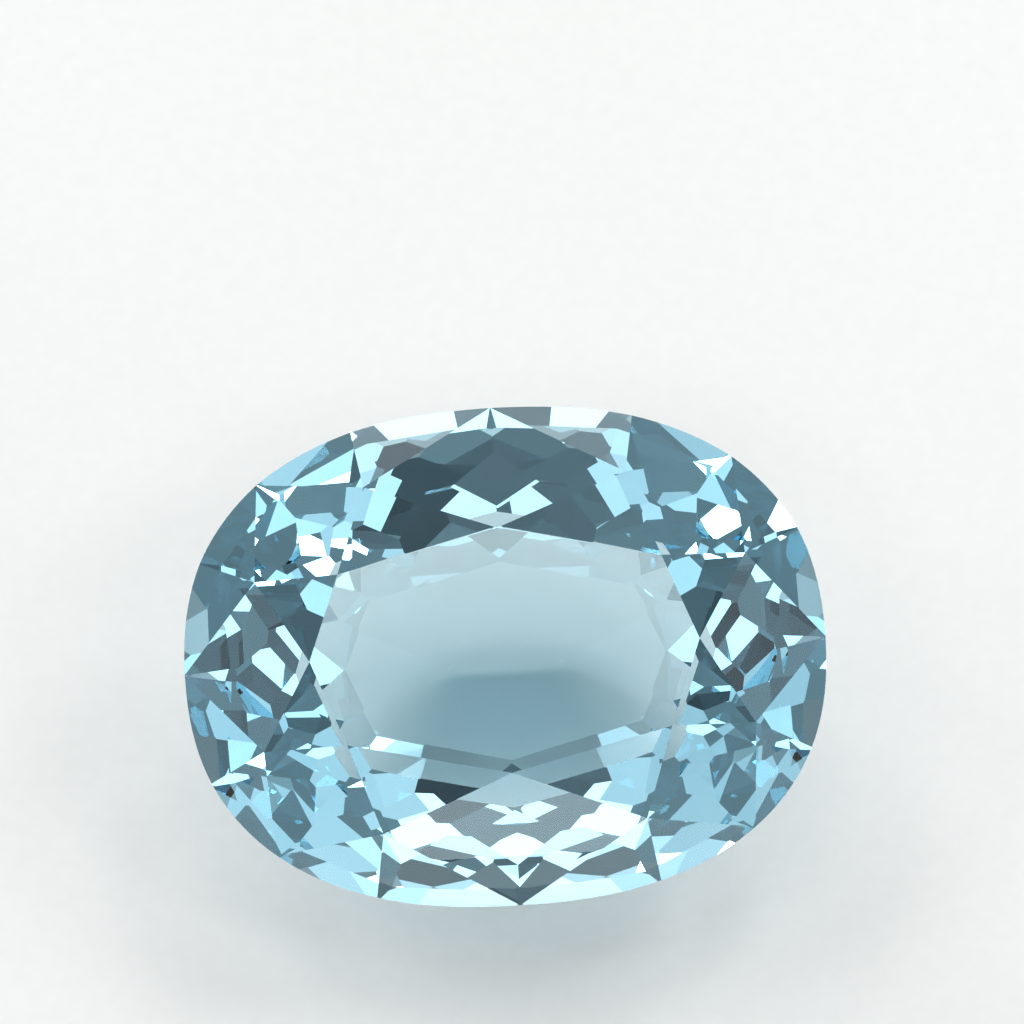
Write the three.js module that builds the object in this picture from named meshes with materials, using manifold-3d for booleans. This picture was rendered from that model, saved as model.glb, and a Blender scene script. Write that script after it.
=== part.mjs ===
// A loose cut aquamarine: an oval, slightly cushion-shaped brilliant, one solid. Millimetres, +Z up.
// It lies as such a stone does when it is put down on paper: on one shallow pavilion facet of its near
// long side, so that its table leans towards -Y. Its long axis runs along X.
// The stone is made as a cutter makes it: an oval prism is ground flat, facet by facet.
import * as THREE from "three";
import { mergeVertices } from "three/addons/utils/BufferGeometryUtils.js";
import Module from "manifold-3d";

// Outline, seen square to the table. With power 2 it is a plain oval, and more makes it squarer.
const stoneLength = 18;
const stoneWidth = 14;
const cushionPower = 2.35;
const outlineSides = 144;

// Girdle, the narrow band round the outline that parts the crown from the pavilion.
const girdleHeight = 0.5;

// Crown: eight mains, eight stars round the table and sixteen facets at the girdle.
const mainCount = 8;
const crownAngle = 31.5;
const crownWidth = 3.6; // from the girdle to the table, seen square to the table
const starDrop = 0.4; // how far down the crown's height a star facet's point lies

// Pavilion: eight steep mains with sixteen facets at the girdle, then rows that grow shallower.
// A row's drop is how far down the mains' own depth its facets begin.
const pavilionAngle = 52; // of the mains on the long sides, and the others meet them in one point
const girdleFacetDrop = 0.8;
const rows = [
  { count: 16, turn: 0.5, drop: 0.12, angle: 45 },
  { count: 16, turn: 0, drop: 0.24, angle: 41 },
  { count: 16, turn: 0.5, drop: 0.36, angle: 37 },
  { count: 8, turn: 0, drop: 0.46, angle: 21 },
];
const restingFacet = 6; // of the last row: the one that faces -Y

const toRadians = Math.PI / 180;
const girdleTop = girdleHeight / 2;
const girdleFoot = -girdleHeight / 2;
const crownHeight = crownWidth * Math.tan(crownAngle * toRadians);
const pavilionDepth = (stoneWidth / 2) * Math.tan(pavilionAngle * toRadians);
const up = new THREE.Vector3(0, 0, 1);
const down = new THREE.Vector3(0, 0, -1);
const heart = new THREE.Vector3(0, 0, 0); // a point inside the stone

// A point of the outline and the way straight out from it, at a turn in degrees from +X and a height.
function outlineAt(turn, height) {
  const [c, s] = [Math.cos(turn * toRadians), Math.sin(turn * toRadians)];
  const bent = (value, power) => Math.sign(value) * Math.abs(value) ** power;
  const [x, y] = [bent(c, 2 / cushionPower), bent(s, 2 / cushionPower)];
  const slopeX = bent(x, cushionPower - 1) / stoneLength;
  const slopeY = bent(y, cushionPower - 1) / stoneWidth;
  return {
    point: new THREE.Vector3((x * stoneLength) / 2, (y * stoneWidth) / 2, height),
    outward: new THREE.Vector3(slopeX, slopeY, 0).normalize(),
  };
}

const levelAt = (height) => new THREE.Plane(up, -height);

// The plane of a facet through three points, facing out of the stone.
function facetThrough(a, b, c) {
  const facet = new THREE.Plane().setFromCoplanarPoints(a, b, c);
  return facet.distanceToPoint(heart) > 0 ? facet.negate() : facet;
}

// The plane of a facet through one point, at an angle to the table, on the side that `away` gives.
function facetAt(point, outward, away, angle) {
  const normal = outward.clone().multiplyScalar(Math.sin(angle * toRadians));
  normal.addScaledVector(away, Math.cos(angle * toRadians));
  return new THREE.Plane().setFromNormalAndCoplanarPoint(normal, point);
}

// The point where three planes meet.
function meetingPoint(p, q, r) {
  const acrossP = q.normal.clone().cross(r.normal);
  const acrossQ = r.normal.clone().cross(p.normal);
  const acrossR = p.normal.clone().cross(q.normal);
  const size = p.normal.dot(acrossP);
  const sum = acrossP.multiplyScalar(p.constant);
  sum.addScaledVector(acrossQ, q.constant).addScaledVector(acrossR, r.constant);
  return sum.multiplyScalar(-1 / size);
}

// Each main, the next one round, and the turn halfway between them.
function pairs(planes) {
  const step = 360 / planes.length;
  return planes.map((plane, k) => ({
    plane,
    next: planes[(k + 1) % planes.length],
    turns: [k * step, (k + 0.5) * step, (k + 1) * step],
  }));
}

// Two facets at the girdle, between a main and the next one. They meet in a point on the mains' shared edge.
function girdleFacets(pair, tip, height) {
  const [here, halfway, there] = pair.turns.map((turn) => outlineAt(turn, height).point);
  return [facetThrough(tip, here, halfway), facetThrough(tip, halfway, there)];
}

function crownFacets() {
  const table = levelAt(girdleTop + crownHeight);
  const mains = [];
  const tableCorners = [];
  for (let k = 0; k < mainCount; k++) {
    const { point, outward } = outlineAt((k * 360) / mainCount, girdleTop);
    mains.push(facetAt(point, outward, up, crownAngle));
    tableCorners.push(point.addScaledVector(outward, -crownWidth).addScaledVector(up, crownHeight));
  }
  const facets = [table, ...mains];
  pairs(mains).forEach((pair, k) => {
    const starPoint = meetingPoint(pair.plane, pair.next, levelAt(girdleTop + crownHeight * (1 - starDrop)));
    facets.push(facetThrough(tableCorners[k], tableCorners[(k + 1) % mainCount], starPoint));
    facets.push(...girdleFacets(pair, starPoint, girdleTop));
  });
  return facets;
}

// How far the stone, ground to these facets, reaches at a height in a direction.
function reachAt(facets, height, outward) {
  let corners = [
    [1, 1],
    [-1, 1],
    [-1, -1],
    [1, -1],
  ].map(([x, y]) => new THREE.Vector3(x * stoneLength, y * stoneLength, height));
  for (const facet of facets) {
    const kept = [];
    corners.forEach((corner, k) => {
      const next = corners[(k + 1) % corners.length];
      const [here, there] = [facet.distanceToPoint(corner), facet.distanceToPoint(next)];
      if (here <= 0) kept.push(corner);
      if (here * there < 0) kept.push(corner.clone().lerp(next, here / (here - there)));
    });
    corners = kept;
  }
  return Math.max(...corners.map((corner) => corner.dot(outward)));
}

function pavilionFacets() {
  const culet = new THREE.Vector3(0, 0, girdleFoot - pavilionDepth);
  const mains = [];
  for (let k = 0; k < mainCount; k++) {
    const { point, outward } = outlineAt((k * 360) / mainCount, girdleFoot);
    const alongGirdle = outward.clone().cross(up).add(point);
    mains.push(facetThrough(point, alongGirdle, culet));
  }
  const facets = [...mains];
  for (const pair of pairs(mains)) {
    const tip = meetingPoint(pair.plane, pair.next, levelAt(girdleFoot - pavilionDepth * girdleFacetDrop));
    facets.push(...girdleFacets(pair, tip, girdleFoot));
  }
  for (const row of rows) {
    const height = girdleFoot - pavilionDepth * row.drop;
    const ground = [];
    for (let k = 0; k < row.count; k++) {
      const { outward } = outlineAt(((k + row.turn) * 360) / row.count, 0);
      const edge = outward.clone().multiplyScalar(reachAt(facets, height, outward)).setZ(height);
      ground.push(facetAt(edge, outward, down, row.angle));
    }
    facets.push(...ground);
  }
  return facets;
}

// An upright prism of the outline, tall enough for every facet, as a manifold solid.
function outlinePrism(wasm) {
  const points = [];
  for (let k = 0; k < outlineSides; k++) {
    const { point } = outlineAt((k * 360) / outlineSides, 0);
    points.push(new THREE.Vector2(point.x, point.y));
  }
  const height = 2 * (girdleHeight + crownHeight + pavilionDepth);
  const prism = new THREE.ExtrudeGeometry(new THREE.Shape(points), { depth: height, bevelEnabled: false });
  prism.translate(0, 0, -height / 2).deleteAttribute("normal");
  prism.deleteAttribute("uv");
  const merged = mergeVertices(prism);
  const vertProperties = merged.attributes.position.array;
  const triVerts = new Uint32Array(merged.index.array);
  return new wasm.Manifold(new wasm.Mesh({ numProp: 3, vertProperties, triVerts }));
}

// Grinds the prism down to each facet in turn, and gives the stone as a geometry.
async function grind(facets) {
  const wasm = await Module();
  wasm.setup();
  let stone = outlinePrism(wasm);
  for (const { normal, constant } of facets) {
    stone = stone.trimByPlane([-normal.x, -normal.y, -normal.z], constant);
  }
  const { vertProperties, triVerts } = stone.getMesh();
  const geometry = new THREE.BufferGeometry();
  geometry.setAttribute("position", new THREE.BufferAttribute(vertProperties, 3));
  return geometry.setIndex(new THREE.BufferAttribute(triVerts, 1));
}

// Lays the stone down on one facet, centred over the origin.
function layDown(geometry, facet) {
  geometry.applyQuaternion(new THREE.Quaternion().setFromUnitVectors(facet.normal, down));
  geometry.computeBoundingBox();
  const { min, max } = geometry.boundingBox;
  return geometry.translate(-(min.x + max.x) / 2, -(min.y + max.y) / 2, -min.z);
}

const pavilion = pavilionFacets();
const lastRow = pavilion.slice(-rows[rows.length - 1].count);
const stone = await grind([...crownFacets(), ...pavilion]);
const polished = new THREE.MeshStandardMaterial({ color: 0xa9d3e2, roughness: 0.04, metalness: 0 });
const aquamarine = new THREE.Mesh(layDown(stone, lastRow[restingFacet]), polished);
aquamarine.name = "aquamarine";

const group = new THREE.Group();
group.add(aquamarine);
export default group;
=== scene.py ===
import math

import bmesh
import bpy
from mathutils import Matrix, Vector


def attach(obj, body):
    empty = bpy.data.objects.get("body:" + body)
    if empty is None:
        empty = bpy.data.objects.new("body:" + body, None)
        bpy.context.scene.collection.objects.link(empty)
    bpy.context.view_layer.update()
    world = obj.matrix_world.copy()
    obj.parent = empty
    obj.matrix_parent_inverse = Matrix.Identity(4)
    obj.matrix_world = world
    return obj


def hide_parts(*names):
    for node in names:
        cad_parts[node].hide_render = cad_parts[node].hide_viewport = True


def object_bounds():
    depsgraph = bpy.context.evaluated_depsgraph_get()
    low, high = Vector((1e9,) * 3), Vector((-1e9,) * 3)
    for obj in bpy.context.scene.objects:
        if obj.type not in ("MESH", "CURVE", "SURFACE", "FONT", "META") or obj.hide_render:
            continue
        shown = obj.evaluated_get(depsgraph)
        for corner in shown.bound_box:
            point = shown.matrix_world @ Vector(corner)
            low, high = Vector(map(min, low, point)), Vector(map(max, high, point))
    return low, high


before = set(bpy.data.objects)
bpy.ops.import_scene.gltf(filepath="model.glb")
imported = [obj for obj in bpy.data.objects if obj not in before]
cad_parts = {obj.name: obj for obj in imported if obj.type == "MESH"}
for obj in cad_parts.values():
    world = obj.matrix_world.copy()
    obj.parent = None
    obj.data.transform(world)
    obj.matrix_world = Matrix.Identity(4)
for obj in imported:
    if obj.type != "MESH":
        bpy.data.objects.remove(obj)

cad_low, cad_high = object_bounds()
scene = bpy.context.scene


# Shader maths, used by every material below. Level wraps one output socket, and its operators add
# Math nodes. Any other node comes from Shader.node, with its settings first and its sockets after.
class Level:
    def __init__(self, shader, socket):
        self.shader = shader
        self.socket = socket

    def combine(self, operation, *others):
        node = self.shader.tree.nodes.new("ShaderNodeMath")
        node.operation = operation
        for slot, value in zip(node.inputs, others):
            self.shader.feed(slot, value)
        return Level(self.shader, node.outputs[0])

    def __add__(self, other):
        return self.combine("ADD", self, other)

    def __radd__(self, other):
        return self.combine("ADD", other, self)

    def __mul__(self, other):
        return self.combine("MULTIPLY", self, other)

    def __rmul__(self, other):
        return self.combine("MULTIPLY", other, self)


class Shader:
    def __init__(self, owner, place="Object"):
        owner.use_nodes = True
        self.owner = owner
        self.tree = owner.node_tree
        self.tree.nodes.clear()
        self.place = self.node("ShaderNodeTexCoord", {}, {}).outputs[place]

    def feed(self, socket, value):
        if isinstance(value, Level):
            value = value.socket
        if isinstance(value, bpy.types.NodeSocket):
            self.tree.links.new(value, socket)
        else:
            socket.default_value = value

    def node(self, kind, settings, sockets):
        made = self.tree.nodes.new(kind)
        for name, value in settings.items():
            setattr(made, name, value)
        for name, value in sockets.items():
            self.feed(made.inputs[name], value)
        return made

    def noise(self, per_metre, detail, stretch=(1, 1, 1)):
        at = self.node("ShaderNodeMapping", {}, {"Vector": self.place, "Scale": stretch})
        sockets = {"Vector": at.outputs[0], "Scale": per_metre, "Detail": detail}
        return Level(self, self.node("ShaderNodeTexNoise", {}, sockets).outputs["Fac"])

    # How far a value has come from one bound to another, from 0 to 1 and eased at both ends.
    def ease(self, value, start, end):
        sockets = {"Value": value, "From Min": start, "From Max": end}
        made = self.node("ShaderNodeMapRange", {"interpolation_type": "SMOOTHSTEP"}, sockets)
        return Level(self, made.outputs[0])

    def mix(self, share, tone, other_tone):
        sockets = {"Factor": share, "A": tone, "B": other_tone}
        return self.node("ShaderNodeMix", {"data_type": "RGBA"}, sockets).outputs["Result"]

    def finish(self, kind, surface, volume=None):
        output = self.node(kind, {}, {"Surface": surface})
        if volume is not None:
            self.feed(output.inputs["Volume"], volume)
        return self.owner


# The stone: one clear, pale blue beryl crystal, cut to flat facets and polished. It is the CAD solid
# with its triangles joined to whole facets. The band of its girdle is ground and not polished.
REFRACTIVE_INDEX = 1.577
LOSS_PER_METRE = 60.0  # of light, in a colour that doesn't pass at all
PASSED = (0.17, 0.72, 0.89, 1.0)  # the share of that loss which each colour is spared
WELD_WITHIN = 1e-6  # metres
FLAT_WITHIN = math.radians(0.3)  # between the triangles of one facet
UPRIGHT_WITHIN = 0.02  # cosine of the angle from a girdle face's normal to the table's
POLISHED, GROUND = 0, 1

stone_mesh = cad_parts["aquamarine"].data.copy()
shape = bmesh.new()
shape.from_mesh(stone_mesh)
bmesh.ops.remove_doubles(shape, verts=shape.verts, dist=WELD_WITHIN)
bmesh.ops.dissolve_limit(shape, angle_limit=FLAT_WITHIN, verts=shape.verts, edges=shape.edges)
table = max(shape.faces, key=lambda face: face.calc_area())
for face in shape.faces:
    face.smooth = False
    upright = abs(face.normal.dot(table.normal)) < UPRIGHT_WITHIN
    face.material_index = GROUND if upright else POLISHED
shape.to_mesh(stone_mesh)
shape.free()
stone = bpy.data.objects.new("cut_stone", stone_mesh)
scene.collection.objects.link(stone)


# Clear beryl. Its blue comes only from what the body takes up on the light's way through.
def beryl(shader, surface_colour, roughness):
    surface = shader.node(
        "ShaderNodeBsdfPrincipled",
        {},
        {
            "Base Color": surface_colour,
            "Roughness": roughness,
            "IOR": REFRACTIVE_INDEX,
            "Transmission Weight": 1.0,
        },
    )
    body = shader.node("ShaderNodeVolumeAbsorption", {}, {"Color": PASSED, "Density": LOSS_PER_METRE})
    return shader.finish("ShaderNodeOutputMaterial", surface.outputs[0], body.outputs[0])


polish = Shader(bpy.data.materials.new("polished beryl"))
hairlines = polish.noise(9000.0, detail=1.0, stretch=(1, 0.08, 1))
grind = Shader(bpy.data.materials.new("ground girdle"))
grain = grind.noise(16000.0, detail=2.0)

stone_mesh.materials.clear()
stone_mesh.materials.append(beryl(polish, (0.985, 0.995, 1.0, 1.0), 0.003 * hairlines))
stone_mesh.materials.append(beryl(grind, (0.72, 0.84, 0.88, 1.0), 0.45 + 0.3 * grain))
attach(stone, "root")
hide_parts("aquamarine")


# The floor: one sheet of plain white paper, far wider than the stone, so that it has no edge in view.
PAPER_HALF = 0.9
AIR_GAP = 0.0001  # under the resting facet

paper_mesh = bpy.data.meshes.new("paper")
corners = [
    (x * PAPER_HALF, y * PAPER_HALF, -AIR_GAP) for x, y in ((-1, -1), (1, -1), (1, 1), (-1, 1))
]
paper_mesh.from_pydata(corners, [], [(0, 1, 2, 3)])
paper = bpy.data.objects.new("paper", paper_mesh)
scene.collection.objects.link(paper)

sheet = Shader(bpy.data.materials.new("white paper"))
fibres = sheet.noise(2200.0, detail=1.0)
whites = sheet.mix(fibres, (0.855, 0.86, 0.845, 1.0), (0.89, 0.895, 0.88, 1.0))
relief = sheet.node("ShaderNodeBump", {}, {"Height": fibres, "Strength": 0.08, "Distance": 0.00005})
matt = sheet.node(
    "ShaderNodeBsdfPrincipled",
    {},
    {"Base Color": whites, "Roughness": 0.9, "Normal": relief.outputs[0]},
)
paper_mesh.materials.append(sheet.finish("ShaderNodeOutputMaterial", matt.outputs[0]))


# The light: a dim room and soft boxes round the stone. Azimuth 0 is behind the stone, and 90 to its
# right. Angles are in degrees, and radiances in the units of the paper's own brightness.
ROOM = (0.28, 0.29, 0.295, 1.0)
ROOM_LOW = (0.80, 0.82, 0.81, 1.0)
ROOM_CORNER = (0.05, 0.055, 0.06, 1.0)
ROOM_SHADE = (0.155, 0.16, 0.165, 1.0)
LOW_TOP = 0.24  # sine of the elevation at which the pale foot of the walls ends
BOX_DISTANCE = 0.6
middle = (cad_low + cad_high) / 2


def direction(azimuth, elevation):
    a, e = math.radians(azimuth), math.radians(elevation)
    return Vector((math.sin(a) * math.cos(e), math.cos(a) * math.cos(e), math.sin(e)))


room = Shader(bpy.data.worlds.new("room"), "Generated")


# A round patch of the room with its own tone. It is full within one angle and gone at another.
def room_patch(tone, patch_tone, azimuth, elevation, full, gone):
    sockets = {0: room.place, 1: direction(azimuth, elevation)}
    aim = room.node("ShaderNodeVectorMath", {"operation": "DOT_PRODUCT"}, sockets)
    edge, core = math.cos(math.radians(gone)), math.cos(math.radians(full))
    return room.mix(room.ease(aim.outputs["Value"], edge, core), tone, patch_tone)


# The walls are pale at the foot. The camera side of the ceiling is darker, and darkest in one corner.
height = room.node("ShaderNodeSeparateXYZ", {}, {0: room.place}).outputs["Z"]
walls = room.mix(room.ease(height, 0.0, LOW_TOP), ROOM_LOW, ROOM)
shaded = room_patch(walls, ROOM_SHADE, azimuth=205, elevation=72, full=5, gone=30)
cornered = room_patch(shaded, ROOM_CORNER, azimuth=122, elevation=69, full=8, gone=16)
glow = room.node("ShaderNodeBackground", {}, {"Color": cornered})
scene.world = room.finish("ShaderNodeOutputWorld", glow.outputs[0])


def soft_box(name, azimuth, elevation, width, height, radiance, colour=(1, 1, 1)):
    lamp = bpy.data.lights.new(name, "AREA")
    lamp.shape = "RECTANGLE"
    lamp.size = width
    lamp.size_y = height
    lamp.energy = math.pi * width * height * radiance
    lamp.color = colour
    box = bpy.data.objects.new(name, lamp)
    away = direction(azimuth, elevation)
    box.location = middle + BOX_DISTANCE * away
    box.rotation_euler = away.to_track_quat("Z", "Y").to_euler()
    box.visible_camera = False
    scene.collection.objects.link(box)


# The big boxes light the paper, from behind the stone and from its sides.
soft_box("low behind left", 326, 17, 0.28, 0.12, 9.0)
soft_box("low behind right", 26, 16, 0.20, 0.10, 12.0)
soft_box("behind left", 330, 43, 0.12, 0.12, 7.0)
soft_box("behind right", 30, 44, 0.12, 0.12, 9.0)
soft_box("far left", 302, 38, 0.12, 0.12, 5.0)
soft_box("far right", 62, 38, 0.16, 0.12, 8.0)
soft_box("behind", 0, 28, 0.50, 0.22, 1.5)
soft_box("behind above", 0, 65, 0.14, 0.08, 1.4)
soft_box("overhead", 0, 76, 0.30, 0.14, 1.3)
soft_box("right", 100, 44, 0.10, 0.10, 6.0)
soft_box("left", 280, 30, 0.10, 0.10, 6.0)

# An arc of boxes in front, below the camera, and two low ones under it for the near edge.
SKY = (0.72, 0.93, 1.0)
for k, azimuth in enumerate((138, 180, 222)):
    soft_box(f"front {k}", azimuth, 54, 0.20, 0.12, 2.0)
for k, azimuth in enumerate((165, 195)):
    soft_box(f"front above {k}", azimuth, 63, 0.05, 0.05, 1.6)
soft_box("front low", 182, 12, 0.30, 0.09, 4.5, SKY)
soft_box("front right low", 124, 12, 0.12, 0.08, 8.0)

# Dim panels at the sides, which the facets break into many pieces.
soft_box("right upper panel", 82, 55, 0.16, 0.12, 1.2)
soft_box("left upper panel", 278, 56, 0.16, 0.12, 1.0)
soft_box("right panel", 108, 27, 0.34, 0.18, 0.75)
soft_box("left panel", 250, 27, 0.34, 0.18, 0.6)
soft_box("right middle panel", 112, 50, 0.14, 0.14, 0.8)
soft_box("left middle panel", 249, 51, 0.14, 0.12, 0.75)


# The camera: a long lens that looks down on the stone from straight in front, rolled a little.
LOOK_DOWN = 63.5
ROLL = 3.5
CAMERA_DISTANCE = 0.15
FRAME_WIDTH = 0.0289  # how much of the paper the picture is wide, at the stone
STONE_LEFT = 0.00017  # how far the stone's middle sits from the picture's, in metres at the stone
STONE_DOWN = 0.0044

back = direction(180, LOOK_DOWN)
turn = back.to_track_quat("Z", "Y").to_matrix() @ Matrix.Rotation(math.radians(-ROLL), 3, "Z")
right, up = turn @ Vector((1, 0, 0)), turn @ Vector((0, 1, 0))
lens = bpy.data.cameras.new("camera")
lens.sensor_width = 36.0
lens.lens = lens.sensor_width * CAMERA_DISTANCE / FRAME_WIDTH
lens.clip_start, lens.clip_end = 0.01, 10.0
camera = bpy.data.objects.new("camera", lens)
place = middle + STONE_LEFT * right + STONE_DOWN * up + CAMERA_DISTANCE * back
camera.matrix_world = Matrix.Translation(place) @ turn.to_4x4()
scene.collection.objects.link(camera)
scene.camera = camera

# Light paths long enough for the stone and no longer, with plain picking of lamps and room light.
scene.view_settings.view_transform = "Standard"
scene.cycles.max_bounces = 10
scene.cycles.diffuse_bounces = 1
scene.cycles.glossy_bounces = 9
scene.cycles.transmission_bounces = 9
scene.cycles.use_light_tree = False
scene.world.cycles.sampling_method = "NONE"
